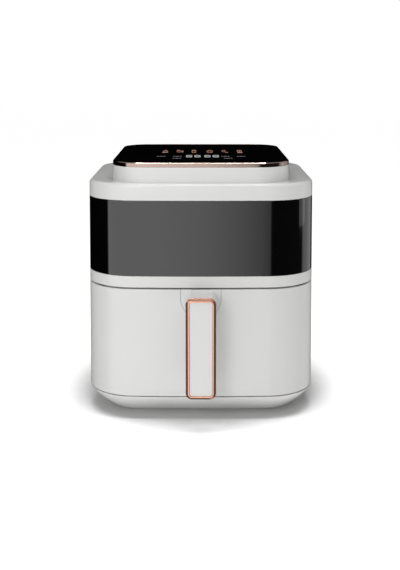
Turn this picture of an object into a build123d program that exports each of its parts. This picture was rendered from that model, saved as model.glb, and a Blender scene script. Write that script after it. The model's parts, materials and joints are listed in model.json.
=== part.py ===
from build123d import *
import math
import os

# A drawer-type air fryer. Millimetres, +Z up, the front faces -Y.
# The origin is under the middle of the whole appliance, on the table.

# ---------------------------------------------------------------- driving dimensions
overall_depth = 312.0
handle_reach = 47.0
body_half_width = 140.0
corner_radius = 60.0
crown_radius = 1900.0
draft_degrees = 0.5

foot_height = 4.8
base_top_z = 29.0
drawer_bottom_z = 30.0
drawer_top_z = 164.3
ring_bottom_z = 166.4
band_bottom_z = 180.2
band_top_z = 272.3
shoulder_top_z = 292.5
collar_top_z = 311.5
glass_bottom_z = 313.6
overall_height = 317.2

base_inset = 25.4
shoulder_radius = 4.5
collar_half_width = 108.8
collar_setback = 7.0
collar_depth = 252.0
collar_front_radius = 42.0
collar_rear_radius = 38.0

shell_wall = 2.6
drawer_wall = 3.0
drawer_wrap = 88.0
seam = 0.8
part_gap = 0.3

pot_half_width = 112.0
pot_back_y = 124.0
pot_wall = 1.5
pot_bottom_z = 38.0
pot_seam_z = 51.0
pot_rim_z = 154.0
pot_corner_radius = 44.0
rim_width = 6.0
rim_thickness = 1.8

liner_half_width = 121.0
liner_front_y = -71.0
liner_back_y = 133.0
liner_bottom_z = 33.0
liner_top_z = 212.0
sheet = 1.0

shaft_radius = 3.0
shaft_clearance = 0.05

handle_half_width = 17.9
handle_bottom_z = 42.3
handle_top_z = 164.4
grip_thickness = 14.0
root_half_width = 24.3
root_bottom_z = 128.6

# ---------------------------------------------------------------- derived sizes
draft = math.tan(math.radians(draft_degrees))
front_y = handle_reach - overall_depth / 2
back_y = overall_depth / 2 - (band_bottom_z - base_top_z) * draft
collar_front_y = front_y + collar_setback
collar_back_y = collar_front_y + collar_depth
drawer_edge_y = front_y + drawer_wrap
panel_back_y = front_y + 19.5
panel_front_y = panel_back_y - 3.0
pot_front_y = panel_back_y + 5.5
pot_centre_y = (pot_front_y + pot_back_y) / 2
pot_depth = pot_back_y - pot_front_y
fan_y = pot_centre_y
grip_front_y = -overall_depth / 2
grip_back_y = grip_front_y + grip_thickness
far = 600.0


def flare(z):
    """How far the tapered body stands outside its outline at the band's lower edge."""
    return (band_bottom_z - z) * draft


def plan(half_width, front, back, front_radius, rear_radius, offset, z):
    """Flat outline with a crowned front and four round corners, moved outward by offset."""
    crown_centre = Vector(0, front + crown_radius)
    corner_x = half_width - front_radius
    reach = crown_radius - front_radius
    corner_y = crown_centre.Y - math.sqrt(reach**2 - corner_x**2)
    corner = Vector(corner_x, corner_y)
    toward_crown = (corner - crown_centre).normalized()
    outward = Vector(1, 0)
    between = (toward_crown + outward).normalized()
    crown_end = crown_centre + toward_crown * (crown_radius + offset)
    corner_middle = corner + between * (front_radius + offset)
    corner_end = corner + outward * (front_radius + offset)
    rear = Vector(half_width - rear_radius, back - rear_radius)
    rear_start = rear + outward * (rear_radius + offset)
    rear_middle = rear + Vector(1, 1).normalized() * (rear_radius + offset)
    rear_end = rear + Vector(0, 1) * (rear_radius + offset)

    def left(point):
        return Vector(-point.X, point.Y)

    edges = [
        ThreePointArc(left(crown_end), Vector(0, front - offset), crown_end),
        ThreePointArc(crown_end, corner_middle, corner_end),
        Line(corner_end, rear_start),
        ThreePointArc(rear_start, rear_middle, rear_end),
        Line(rear_end, left(rear_end)),
        ThreePointArc(left(rear_end), left(rear_middle), left(rear_start)),
        Line(left(rear_start), left(corner_end)),
        ThreePointArc(left(corner_end), left(corner_middle), left(crown_end)),
    ]
    return Pos(0, 0, z) * make_face(edges)


def body_outline(z, inset=0.0):
    """Outline of the tapered body at height z, moved inward by inset."""
    offset = flare(z) - inset
    return plan(body_half_width, front_y, back_y, corner_radius, corner_radius, offset, z)


def body_form(z_low, z_high, inset=0.0):
    """Solid block of the tapered body between two heights."""
    return loft([body_outline(z_low, inset), body_outline(z_high, inset)], ruled=True)


def collar_form(z_low, z_high, inset=0.0):
    """Solid upright block with the collar's outline."""
    face = plan(
        collar_half_width,
        collar_front_y,
        collar_back_y,
        collar_front_radius,
        collar_rear_radius,
        -inset,
        z_low,
    )
    return extrude(face, z_high - z_low)


def block(x_low, x_high, y_low, y_high, z_low, z_high):
    """Box given by its limits."""
    size = (x_high - x_low, y_high - y_low, z_high - z_low)
    middle = ((x_low + x_high) / 2, (y_low + y_high) / 2, (z_low + z_high) / 2)
    return Pos(*middle) * Box(*size)


def rod(x, y, z_low, z_high, radius):
    """Upright cylinder."""
    return Pos(x, y, (z_low + z_high) / 2) * Cylinder(radius, z_high - z_low)


def rod_y(x, z, y_low, y_high, radius):
    """Cylinder that lies along Y."""
    return Pos(x, (y_low + y_high) / 2, z) * Rot(90, 0, 0) * Cylinder(radius, y_high - y_low)


def tube(x, y, z_low, z_high, radius, bore):
    """Upright ring."""
    return rod(x, y, z_low, z_high, radius) - rod(x, y, z_low - 1, z_high + 1, bore)


def rounded_block(half_width, y_low, y_high, z_low, z_high, radius):
    """Upright block with four round corners in plan."""
    outline = RectangleRounded(2 * half_width, y_high - y_low, radius)
    return Pos(0, (y_low + y_high) / 2, z_low) * extrude(outline, z_high - z_low)


def four_corners(half_x, y_low, y_high):
    return [(x, y) for x in (-half_x, half_x) for y in (y_low, y_high)]


def screw(x, y, z_head, length, radius=1.8, head_radius=3.5, head_height=2.2):
    """Pan-head screw that points up, its head below z_head."""
    head = rod(x, y, z_head - head_height, z_head, head_radius)
    drive = rod(x, y, z_head - head_height, z_head - head_height + 1.2, 1.2)
    return head + rod(x, y, z_head, z_head + length, radius) - drive


def screw_y(x, z, y_head, length, radius=1.8, head_radius=3.5, head_height=2.2):
    """Pan-head screw along Y. A positive length points to +Y, a negative one to -Y."""
    way = 1 if length > 0 else -1
    far_end = y_head - way * head_height
    head = rod_y(x, z, min(y_head, far_end), max(y_head, far_end), head_radius)
    tip = y_head + length
    drive_end = far_end + way * 1.2
    drive = rod_y(x, z, min(far_end, drive_end), max(far_end, drive_end), 1.2)
    return head + rod_y(x, z, min(y_head, tip), max(y_head, tip), radius) - drive


# ---------------------------------------------------------------- fasteners
foot_places = four_corners(82, front_y + 56, back_y - 54)
base_screw_places = four_corners(100, liner_front_y + 24, liner_back_y - 24)
rear_screw_places = [(x, z) for x in (-66, 66) for z in (54, 252)]
motor_screw_places = four_corners(42, fan_y - 26, fan_y + 26)
board_screw_places = four_corners(28, -24, 24)
board_x = 84.0
board_y = 24.0
board_z = 228.0
rear_face_inset = 0.6
rear_sink = 2.8
rear_boss_depth = 7.5


def rear_face_y(z):
    """Outer face of the rear cover at height z."""
    return back_y + flare(z) - rear_face_inset


def base_screws():
    """Screws that go up through the tray's posts into the liner."""
    return [screw(x, y, foot_height + 3.0, 28.0) for x, y in base_screw_places]


def rear_screws():
    """Screws sunk into the rear cover."""
    return [screw_y(x, z, rear_face_y(z) - rear_sink, -11.0) for x, z in rear_screw_places]


def rear_lug(x, z, wall_inset):
    """Lug on the inside of a rear wall, beside the rear opening, that a screw bites into."""
    side = 1 if x > 0 else -1
    low_y, high_y = rear_face_y(z) - 15.0, rear_face_y(z) - rear_boss_depth
    ends = sorted((side * 59.0, side * 81.0))
    web = sorted((side * 77.0, side * 81.0))
    lug = block(ends[0], ends[1], low_y, high_y, z - 6, z + 6)
    return lug + block(web[0], web[1], low_y, back_y + flare(z) - wall_inset - 0.6, z - 6, z + 6)


def motor_screws():
    """Screws that hold the motor bracket's feet to the heat shield."""
    return [
        Pos(0, 0, 223.2) * Rot(180, 0, 0) * screw(x, -y, 0, 5.5, 1.5, 3.0, 2.0)
        for x, y in motor_screw_places
    ]


def board_screws():
    return [
        Pos(board_x, 0, board_z + 1.6) * Rot(180, 0, 0) * screw(x, -y - board_y, 0, 8.0, 1.3, 2.6, 1.8)
        for x, y in board_screw_places
    ]


def bracket_screws():
    """Screws from the drawer's inner panel into the pot bracket."""
    return [screw_y(x, z, panel_front_y, 4.6, 1.6, 3.2, 2.0) for x in (-34, 34) for z in (70, 126)]


def handle_screws():
    """Two screws from inside the drawer's front into the handle's root."""
    return [screw_y(0, z, front_y + 12.0, -24.0, 2.0, 3.8, 2.4) for z in (140, 155)]


# ---------------------------------------------------------------- housing shells
def base_profile(share):
    """How far the base stands inside the body, from its bottom (share 0) to its top (share 1)."""
    return base_inset * (1 - share) ** 1.3


def base_form(inset, z_low, z_high):
    """Solid of the flared base, moved inward by inset, with a rounded-out side."""
    steps = 6
    sections = []
    for step in range(steps + 1):
        share = step / steps
        z = z_low + share * (z_high - z_low)
        shape_share = (z - foot_height) / (base_top_z - foot_height)
        sections.append(body_outline(z, base_profile(shape_share) + inset))
    return loft(sections, ruled=True)


def base_tray():
    """Chamfered tray that carries the appliance: floor, posts, vents and a deck at the front."""
    floor_z = foot_height + shell_wall
    outer = base_form(0.0, foot_height, base_top_z)
    cavity = base_form(3.0, floor_z, base_top_z)
    deck_edge_y = drawer_edge_y + 6
    deck_z = base_top_z - shell_wall
    tray = outer - (cavity - block(-far, far, -far, deck_edge_y, deck_z, far))
    lip = body_form(base_top_z - 3, base_top_z + 5, shell_wall + 0.3)
    lip -= body_form(base_top_z - 4, base_top_z + 6, shell_wall + 2.3)
    tray += lip - block(-far, far, -far, deck_edge_y, 0, far)
    for x, y in base_screw_places:
        tray += rod(x, y, foot_height + 2, liner_bottom_z, 5.0)
        tray -= rod(x, y, foot_height - 1, foot_height + 3.0, 4.2)
    for x, y in foot_places:
        tray -= rod(x, y, foot_height - 1, foot_height + 1.4, 12.0)
    for row in range(7):
        y = -12 + row * 12
        tray -= block(-52, -8, y - 2.2, y + 2.2, foot_height - 1, floor_z + 1)
        tray -= block(8, 52, y - 2.2, y + 2.2, foot_height - 1, floor_z + 1)
    for piece in base_screws():
        tray -= piece
    return tray


def rubber_feet():
    """Four ribbed rubber feet pressed into the tray."""
    feet = []
    for x, y in foot_places:
        foot = rod(x, y, 0, foot_height + 1.4, 12.0)
        foot = chamfer(foot.edges().group_by(Axis.Z)[0], 1.0)
        groove = tube(x, y, -1, 0.8, 8.0, 6.4)
        feet.append(foot - groove)
    return feet


def rear_opening(z_low, z_high):
    """Space that the rear cover takes out of the shells."""
    margin = part_gap
    return block(-75 - margin, 75 + margin, 100, far, z_low - margin, z_high + margin)


def lower_shell():
    """White side and rear walls, with the ring that closes over the drawer."""
    z_low = base_top_z + 0.6
    wall = body_form(z_low, band_bottom_z, 0) - body_form(z_low - 1, band_bottom_z + 1, shell_wall)
    front_edge = drawer_edge_y + seam
    wall -= block(-far, far, -far, front_edge, 0, ring_bottom_z)
    underside = body_form(ring_bottom_z, ring_bottom_z + 2.5, 1.0)
    mouth = block(-liner_half_width - 0.3, liner_half_width + 0.3, liner_front_y, far, 0, far)
    underside -= mouth
    underside -= block(-far, far, front_edge + 2.8, far, 0, far)
    shell = wall + underside
    shell -= rod(switch_x, switch_y, 160, 172, plunger_radius + shaft_clearance)
    shell -= rear_opening(44, 262)
    for x, z in rear_screw_places:
        if z < band_bottom_z:
            shell += rear_lug(x, z, shell_wall - 1.2)
    for piece in rear_screws():
        shell -= piece
    return shell


def decor_band():
    """Gloss dark band that wraps the whole body."""
    band = body_form(band_bottom_z, band_top_z, 0.0)
    band -= body_form(band_bottom_z - 1, band_top_z + 1, 2.4)
    return band - rear_opening(44, 262)


def band_carrier():
    """Inner wall that joins the lower shell, the band and the top cover."""
    low, high = band_bottom_z - 6, band_top_z + 6
    wall = body_form(low, high, shell_wall + 0.1)
    wall -= body_form(low - 1, high + 1, shell_wall + 2.1)
    wall -= rear_opening(44, 262)
    for x, z in rear_screw_places:
        if z > band_bottom_z:
            wall += rear_lug(x, z, shell_wall)
    for piece in rear_screws():
        wall -= piece
    return wall


def top_cover():
    """White shoulder and the narrower collar that stands on it."""
    shoulder = body_form(band_top_z, shoulder_top_z, 0)
    shoulder = fillet(shoulder.edges().group_by(Axis.Z)[-1], shoulder_radius)
    collar = collar_form(shoulder_top_z - 1, collar_top_z)
    cover = shoulder + collar
    cover -= body_form(band_top_z - 1, shoulder_top_z - shell_wall, shell_wall)
    cover -= collar_form(shoulder_top_z - 6, collar_top_z - 2.2, shell_wall)
    cover += collar_form(collar_top_z - 1, glass_bottom_z, 2.9)
    cover -= block(-62, 62, collar_front_y + 39, collar_front_y + 144, 0, far)
    for x, y in board_posts:
        cover += rod(x, y, 306.6, collar_top_z - 1, 3.0)
    return cover


def panel_trim():
    """Rose-gold frame round the control glass."""
    ring = collar_form(collar_top_z, overall_height, 0.3)
    edge = ring.edges().group_by(Axis.Z)[-1]
    ring = chamfer(edge, 0.8)
    return ring - collar_form(collar_top_z - 1, overall_height + 1, 2.8)


def control_glass():
    """Flat touch panel."""
    return collar_form(glass_bottom_z, overall_height - 0.4, 2.9)


board_posts = four_corners(72, collar_front_y + 43, collar_front_y + 135)


def touch_board():
    """Circuit board with the touch pads, under the top cover's posts."""
    y_low, y_high = collar_front_y + 37, collar_front_y + 141
    board = rounded_block(78, y_low, y_high, 305.0, 306.6, 3)
    for x, y in board_posts:
        board -= rod(x, y, 300, 310, 1.3)
    return board


def display_module():
    """Two numeric displays and the light pipes that reach up to the glass."""
    low, high = 306.6, glass_bottom_z
    pieces = [block(-24, 24, -26, 12, low, high - 0.2)]
    for index in range(6):
        x = -50 + index * 20
        pieces.append(tube(x, 34, low, high - 0.2, 6.0, 4.5))
    return pieces


def rear_cover():
    """Louvred rear panel with a pocket for the cord gland."""
    z_low, z_high = 44, 262
    cover = body_form(z_low, z_high, rear_face_inset) - body_form(z_low - 1, z_high + 1, 3.4)
    cover = cover & block(-75, 75, 100, far, z_low, z_high)
    for row in range(6):
        z = 216 + row * 7
        cover -= block(-58, 58, 100, far, z, z + 3.4)
    for row in range(4):
        z = 183 + row * 6.4
        cover -= block(-29, 29, 100, far, z, z + 3.6)
    face = rear_face_y(gland_z)
    cover += rod_y(gland_x, gland_z, face - 11, face - 1.2, 15.5)
    cover -= rod_y(gland_x, gland_z, face - 9, face + 5, 14.0)
    cover -= rod_y(gland_x, gland_z, face - 20, face, gland_neck_radius)
    for x, z in rear_screw_places:
        cover += rod_y(x, z, rear_face_y(z) - rear_boss_depth, rear_face_y(z) - 1.5, 6.5)
        cover -= rod_y(x, z, rear_face_y(z) - rear_sink, rear_face_y(z) + 5, 4.0)
    for piece in rear_screws():
        cover -= piece
    return cover


gland_x = 50.0
gland_z = 72.0
gland_neck_radius = 7.0
gland_bore_radius = 3.6


def cord_gland():
    """Stepped bush that the mains lead passes through."""
    face = rear_face_y(gland_z) - 9
    gland = rod_y(gland_x, gland_z, face, face + 5, 11.0)
    gland += rod_y(gland_x, gland_z, face - 6, face, gland_neck_radius)
    return gland - rod_y(gland_x, gland_z, face - 20, face + 20, gland_bore_radius)


def gland_nut():
    face = rear_face_y(gland_z) - 11
    hexagon = extrude(RegularPolygon(11, 6), 4)
    nut = Pos(gland_x, face, gland_z) * Rot(90, 0, 0) * hexagon
    return nut - rod_y(gland_x, gland_z, face - 10, face + 10, gland_neck_radius)


# ---------------------------------------------------------------- cooking chamber
exhaust_low_z, exhaust_high_z, exhaust_half_width = 184.0, 204.0, 28.0


def chamber_liner():
    """Sheet-steel box that the drawer slides into."""
    half = liner_half_width
    low, high = liner_bottom_z, liner_top_z
    outer = rounded_block(half, liner_front_y - 40, liner_back_y, low, high, 26)
    inner = rounded_block(half - sheet, liner_front_y - 41, liner_back_y - sheet, low + sheet, high - sheet, 25)
    liner = outer - inner
    liner -= block(-far, far, -far, liner_front_y, 0, far)
    liner += block(-half, half, liner_front_y, liner_front_y + sheet, ring_bottom_z + 2.5, high)
    liner -= rod(0, fan_y, high - 5, high + 5, 7.0)
    side = exhaust_half_width
    liner -= block(-side, side, liner_back_y - 5, liner_back_y + 5, exhaust_low_z, exhaust_high_z)
    for x in heater_terminals:
        liner -= rod(x[0], x[1], high - 5, high + 5, 5.5)
    liner -= rod_y(probe_x, probe_z, liner_front_y - 5, liner_front_y + 5, 3.2)
    for piece in base_screws():
        liner -= piece
    return liner


def front_frame():
    """Dark frame round the mouth of the chamber, inside the drawer's wrap-round front."""
    low, high = drawer_bottom_z + 0.8, ring_bottom_z - 0.2
    sleeve = body_form(low, high, 8.5) - body_form(low + 2.0, high + 1, 11.0)
    sleeve = sleeve & block(-far, far, liner_front_y - 1, drawer_edge_y + seam, 0, far)
    lip = body_form(low, high, 8.5) & block(-far, far, liner_front_y - 1, liner_front_y + 1.5, 0, far)
    mouth = liner_half_width + 0.3
    lip -= block(-mouth, mouth, -far, far, low + 2.0, far)
    flange = body_form(low, high, shell_wall + 0.2) - body_form(low - 1, high + 1, 11.0)
    flange = flange & block(-far, far, drawer_edge_y + seam, drawer_edge_y + seam + 2.5, 0, far)
    floor_edge = body_form(low, low + 2.0, 11.0 - 0.1)
    floor_edge = floor_edge & block(-far, far, liner_front_y - 1, drawer_edge_y + seam, 0, far)
    frame = sleeve + lip + flange + floor_edge
    for x, y in base_screw_places:
        frame -= rod(x, y, 0, low + 5, 5.0)
    return frame


def guide_rails():
    """Two rails under the pot's rim, one on each side of the chamber."""
    rail_top = pot_rim_z - rim_thickness - part_gap
    inner_x = pot_half_width + 1.0
    outer_x = liner_half_width - sheet
    rails = []
    for side in (-1, 1):
        low_x, high_x = sorted((side * inner_x, side * outer_x))
        rail = block(low_x, high_x, liner_front_y + 2, liner_back_y - 30, rail_top - 1.5, rail_top)
        web_low, web_high = sorted((side * (outer_x - 1.5), side * outer_x))
        rail += block(web_low, web_high, liner_front_y + 2, liner_back_y - 30, rail_top - 12, rail_top)
        rails.append(rail)
    return rails


def drawer_catches():
    """Leaf springs that hold the closed drawer by its rim."""
    wall_x = liner_half_width - sheet
    rim_x = pot_half_width + rim_width
    catches = []
    for side in (-1, 1):
        leaf = Polyline(
            (wall_x, 70), (wall_x, 64), (rim_x + 0.9, 58), (rim_x + 0.5, 54),
            (rim_x + 0.9, 50), (wall_x, 44), (wall_x, 38),
        )
        back = Polyline(
            (wall_x, 38), (wall_x - 0.5, 38), (wall_x - 0.5, 43.8), (rim_x + 0.42, 50.2), (rim_x + 0.35, 54),
            (rim_x + 0.42, 57.8), (wall_x - 0.5, 64.2), (wall_x - 0.5, 70), (wall_x, 70),
        )
        spring = extrude(make_face([leaf, back]), 8)
        spring = Pos(0, 0, pot_rim_z - 1.6) * spring
        catches.append(spring if side == 1 else mirror(spring, Plane.YZ))
    return catches


def heat_shield():
    """Aluminium plate with turned-down edges over the chamber's roof."""
    top = liner_top_z + 5
    half = liner_half_width - 6
    shield = block(-half, half, liner_front_y + 4, liner_back_y - 4, liner_top_z, top)
    shield -= block(-half + 1, half - 1, liner_front_y + 5, liner_back_y - 5, liner_top_z - 1, top - 1)
    shield -= rod(0, fan_y, top - 5, top + 5, 8.0)
    for x, y in heater_terminals:
        shield -= rod(x, y, top - 5, top + 5, 6.5)
    shield -= rod(cutout_x, cutout_y, top - 5, top + 5, 9.0)
    for x, y in motor_screw_places:
        shield -= rod(x, y, top - 5, top + 5, 1.5)
    for x, y in board_screw_places:
        shield += rod(board_x + x, board_y + y, top, board_z, 3.0)
    for piece in board_screws():
        shield -= piece
    return shield


def air_guide():
    """Round steel wall that hangs from the roof and steers the hot air."""
    low = ring_bottom_z + 3
    top = liner_top_z - sheet
    wall = tube(0, fan_y, low, top, guide_radius, guide_radius - sheet)
    flange = tube(0, fan_y, top - sheet, top, guide_radius + 1.8, guide_radius - 0.5)
    return wall + flange


guide_radius = 88.0
heater_z = 180.0
heater_radius = 3.3
outer_loop, inner_loop = 80.0, 56.0
loop_gap = 20.0
heater_terminals = [
    (outer_loop * math.cos(math.radians(90 + loop_gap)), fan_y + outer_loop * math.sin(math.radians(90 + loop_gap))),
    (inner_loop * math.cos(math.radians(90 + loop_gap)), fan_y + inner_loop * math.sin(math.radians(90 + loop_gap))),
]


def heater_coil():
    """Sheathed element: an outer and an inner loop joined by a hairpin bend."""
    start = 90 + loop_gap
    turn = 360 - 2 * loop_gap
    end = start + turn
    middle = (outer_loop + inner_loop) / 2
    bend = (outer_loop - inner_loop) / 2
    end_angle = math.radians(end)
    bend_centre = (middle * math.cos(end_angle), middle * math.sin(end_angle))
    outer = CenterArc((0, 0), outer_loop, start, turn)
    hairpin = CenterArc(bend_centre, bend, end, 180)
    inner = CenterArc((0, 0), inner_loop, end, -turn)
    path = Wire([outer, hairpin, inner])
    section = Plane(origin=path @ 0, z_dir=path % 0) * Circle(heater_radius)
    coil = Pos(0, fan_y, heater_z) * sweep(section, path=path)
    for x, y in heater_terminals:
        coil += rod(x, y, heater_z, liner_top_z + 16, heater_radius)
        coil += Pos(x, y, heater_z) * Sphere(heater_radius)
    return coil


def heater_brackets():
    """Three straps from the roof that hold the outer loop of the element."""
    straps = []
    top = liner_top_z - sheet
    for angle in (0, 180, 270):
        strap = block(outer_loop - 4, outer_loop + 4, -5, 5, heater_z + heater_radius, heater_z + heater_radius + 1)
        strap += block(outer_loop + 3, outer_loop + 4, -5, 5, heater_z + heater_radius, top)
        strap += block(outer_loop - 5, outer_loop + 4, -5, 5, top - 1, top)
        straps.append(Pos(0, fan_y, 0) * Rot(0, 0, angle) * strap)
    return straps


def heater_guard():
    """Welded wire grille under the element."""
    z = ring_bottom_z + 4.4
    wire = 1.2
    rim = guide_radius - sheet - wire
    guard = Pos(0, fan_y, z) * Torus(rim, wire)
    for radius in (22, 38, 54, 70):
        guard += Pos(0, fan_y, z) * Torus(radius, wire)
    for angle in (0, 60, 120):
        guard += Pos(0, fan_y, z) * Rot(0, 90, angle) * Cylinder(wire, 2 * rim)
    return guard


def exhaust_duct():
    """Short duct from the chamber's rear wall to the rear cover."""
    side = exhaust_half_width + 2.0
    low, high = exhaust_low_z - 2.0, exhaust_high_z + 2.0
    end = back_y - 4.0
    duct = block(-side, side, liner_back_y, end, low, high)
    duct -= block(-side + 1.5, side - 1.5, liner_back_y - 1, end + 1, low + 1.5, high - 1.5)
    return duct


# ---------------------------------------------------------------- motor and electrics
bush_radius = 7.0
stator_low_z, stator_high_z = 227.0, 245.0
rotor_radius = 14.0


def motor_stator():
    """Laminated core with its field coil."""
    core = block(-26, 26, fan_y - 20, fan_y + 34, stator_low_z, stator_high_z)
    core -= rod(0, fan_y, 200, 260, rotor_radius + 0.7)
    core -= block(-14, 14, fan_y + 20, fan_y + 27, 200, 260)
    coil = rounded_block(19, fan_y + 27.1, fan_y + 33.9, stator_low_z - 3, stator_high_z + 1.6, 3)
    return core + coil


def motor_bracket():
    """Two pressed plates on four posts that carry the motor's bushes."""
    bracket = block(-48, 48, fan_y - 32, fan_y + 40, 217.0, 218.2)
    bracket -= rod(0, fan_y, 200, 230, 22.0)
    bracket -= block(-26, 26, fan_y - 20, fan_y + 34, 200, 219)
    for x, y in four_corners(32, fan_y - 26, fan_y + 36):
        bracket += rod(x, y, 217.0, 249.4, 2.6)
    for low in (221.0, 248.0):
        plate = block(-35, 35, fan_y - 29, fan_y + 39, low, low + 1.6)
        plate -= block(-22, 22, fan_y + 12, fan_y + 36.5, low - 1, low + 3)
        bracket += plate
    bracket -= rod(0, fan_y, 218, 252, bush_radius)
    for x, y in motor_screw_places:
        bracket += rod(x, y, 217.0, 223.2 - 2.0, 3.4)
        bracket += block(min(x, x * 0.6), max(x, x * 0.6), y - 3, y + 3, 217.0, 218.2)
    for piece in motor_screws():
        bracket -= piece
    return bracket


def motor_bushes():
    """Two sintered bushes that the shaft turns in."""
    bore = shaft_radius + shaft_clearance
    return [tube(0, fan_y, low, low + 4.6, bush_radius, bore) for low in (219.5, 246.5)]


def power_board():
    board = block(board_x - 32, board_x + 32, board_y - 44, board_y + 44, board_z, board_z + 1.6)
    for piece in board_screws():
        board -= piece
    return board


def board_components():
    """Transformer, relay, capacitors and connectors on the power board."""
    top = board_z + 1.6
    pieces = [
        block(board_x - 24, board_x - 2, board_y - 18, board_y + 6, top, top + 17),
        block(board_x + 6, board_x + 24, board_y - 12, board_y + 2, top, top + 14),
        block(board_x + 4, board_x + 20, board_y + 10, board_y + 18, top, top + 12),
        block(board_x - 22, board_x + 8, board_y + 34, board_y + 42, top, top + 9),
    ]
    for x, y in ((-18, 16), (-8, 16), (16, -36)):
        pieces.append(rod(board_x + x, board_y + y, top, top + 15, 4.0))
    return pieces


def heat_sink():
    """Finned heat sink of the switching device."""
    top = board_z + 1.6
    x = board_x + 12
    y = board_y - 28
    sink = block(x - 18, x - 16, y - 10, y + 10, top, top + 20)
    for index in range(5):
        fin_y = y - 10 + index * 4.6
        sink += block(x - 16.5, x - 6, fin_y, fin_y + 1.4, top, top + 20)
    return sink


def terminal_block():
    """Mains terminals beside the cord gland, on the liner's rear wall."""
    y_low = liner_back_y + 0.0
    block_part = block(-40, -8, y_low, y_low + 8, 62, 82)
    for x in (-34, -24, -14):
        block_part -= rod(x, y_low + 4, 74, 90, 2.4)
    return block_part


cutout_x, cutout_y = -60.0, -24.0
probe_x, probe_z = -48.0, 190.0


def thermal_cutout():
    """Button thermostat on the chamber's roof."""
    cutout = rod(cutout_x, cutout_y, liner_top_z, liner_top_z + 9, 8.0)
    cutout += block(cutout_x - 12, cutout_x - 4, cutout_y - 2, cutout_y + 2, liner_top_z + 9, liner_top_z + 10)
    cutout += block(cutout_x + 4, cutout_x + 12, cutout_y - 2, cutout_y + 2, liner_top_z + 9, liner_top_z + 10)
    return cutout


def temperature_probe():
    """Sensor that reaches through the chamber's front wall."""
    probe = rod_y(probe_x, probe_z, liner_front_y - 6, liner_front_y + 8, 3.1)
    probe += rod_y(probe_x, probe_z, liner_front_y - 3, liner_front_y, 5.5)
    return probe


switch_x, switch_y = 70.0, -92.0
plunger_radius = 2.0


def drawer_switch():
    """Micro-switch that cuts the heat when the drawer is out."""
    low = ring_bottom_z + 2.5
    case = block(switch_x - 10, switch_x + 10, switch_y - 3.2, switch_y + 3.2, low, low + 11)
    case -= rod(switch_x, switch_y, low - 1, low + 7, plunger_radius + shaft_clearance)
    return case


def switch_plunger():
    """Plunger of the drawer switch, held up by the closed drawer."""
    tip = drawer_top_z + part_gap
    return rod(switch_x, switch_y, tip, ring_bottom_z + 2.5 + 5.0, plunger_radius)


def wiring_loom():
    """Bundled leads that rise from the power board to the touch board."""
    start_x, start_y = board_x - 18, board_y + 38
    bundle_z = 292.0
    path = FilletPolyline(
        (start_x, start_y, board_z + 10.6),
        (start_x, start_y, bundle_z),
        (start_x - 36, start_y - 40, bundle_z),
        (start_x - 36, start_y - 40, 305.0),
        radius=[12, 6],
    )
    section = Plane(origin=path @ 0, z_dir=path % 0) * Circle(2.6)
    return sweep(section, path=path)


# ---------------------------------------------------------------- drawer
def handle_root_outline(gap=0.0):
    """U-shaped prism, open at the top, that the handle's root fills in the drawer's front."""
    half = root_half_width + gap
    centre_z = root_bottom_z + root_half_width
    outline = rod_y(0, centre_z, front_y - 6, front_y + 9, half)
    return outline + block(-half, half, front_y - 6, front_y + 9, centre_z, drawer_top_z + 5)


def drawer_front():
    """White front that wraps both corners, with returns along its top and bottom edges."""
    low, high = drawer_bottom_z, drawer_top_z
    front = body_form(low, high)
    front -= body_form(low + 2.5, high - 2.5, drawer_wall)
    front = front & block(-far, far, -far, drawer_edge_y, 0, far)
    arm_x = body_half_width - 6.5
    behind_panel = block(-arm_x, arm_x, panel_back_y + 0.5, far, 0, far)
    front -= behind_panel & body_form(low - 1, high + 1, drawer_wall)
    return front - handle_root_outline(part_gap)


def drawer_inner_panel():
    """Dark tray that closes the back of the drawer's front."""
    low, high = drawer_bottom_z + 3.0, drawer_top_z - 2.7
    rear_y = liner_front_y - 3.5
    tray = body_form(low, high, drawer_wall + 0.2) & block(-far, far, panel_front_y, rear_y, 0, far)
    tray -= body_form(low + 2.4, high - 2.4, drawer_wall + 3.0) & block(-far, far, panel_back_y, far, 0, far)
    tray -= block(-pot_half_width - 4, pot_half_width + 4, panel_back_y + 8, far, pot_rim_z, far)
    for piece in bracket_screws():
        tray -= piece
    return tray


def drawer_gasket():
    """U-shaped silicone lip between the drawer and the mouth of the chamber."""
    y_low, y_high = liner_front_y - 3.4, liner_front_y - 1.4
    outer = block(-125, 125, y_low, y_high, 34, pot_rim_z)
    return outer - block(-121, 121, y_low - 1, y_high + 1, 37, far)


def pot_prism(inset, z_low, z_high):
    """Block with the pot's plan, moved inward by inset."""
    return rounded_block(
        pot_half_width - inset,
        pot_front_y + inset,
        pot_back_y - inset,
        z_low,
        z_high,
        pot_corner_radius - inset,
    )


def bucket():
    """Wall and base of the pot in one shape, with the rim that rides on the rails."""
    outer = pot_prism(0, pot_bottom_z, pot_rim_z)
    outer = fillet(outer.edges().group_by(Axis.Z)[0], 10)
    rim = pot_prism(-rim_width, pot_rim_z - rim_thickness, pot_rim_z)
    rim = rim & block(-far, far, pot_front_y, far, 0, far)
    inner = pot_prism(pot_wall, pot_bottom_z + pot_wall, pot_rim_z + 5)
    inner = fillet(inner.edges().group_by(Axis.Z)[0], 8.5)
    return outer + rim - inner


def pot():
    """Coated wall of the pot, from its seam up to its rim."""
    return bucket() & block(-far, far, -far, far, pot_seam_z, far)


def pot_base():
    """Coated dish that is seamed to the bottom of the pot's wall."""
    return bucket() & block(-far, far, -far, far, 0, pot_seam_z)


def pot_bracket():
    """Channel that fixes the pot to the drawer's inner panel."""
    bracket = block(-42, 42, panel_back_y, pot_front_y, 62, 134)
    bracket -= block(-27, 27, panel_back_y - 1, pot_front_y - 1.5, 60, 136)
    for piece in bracket_screws():
        bracket -= piece
    return bracket


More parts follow.
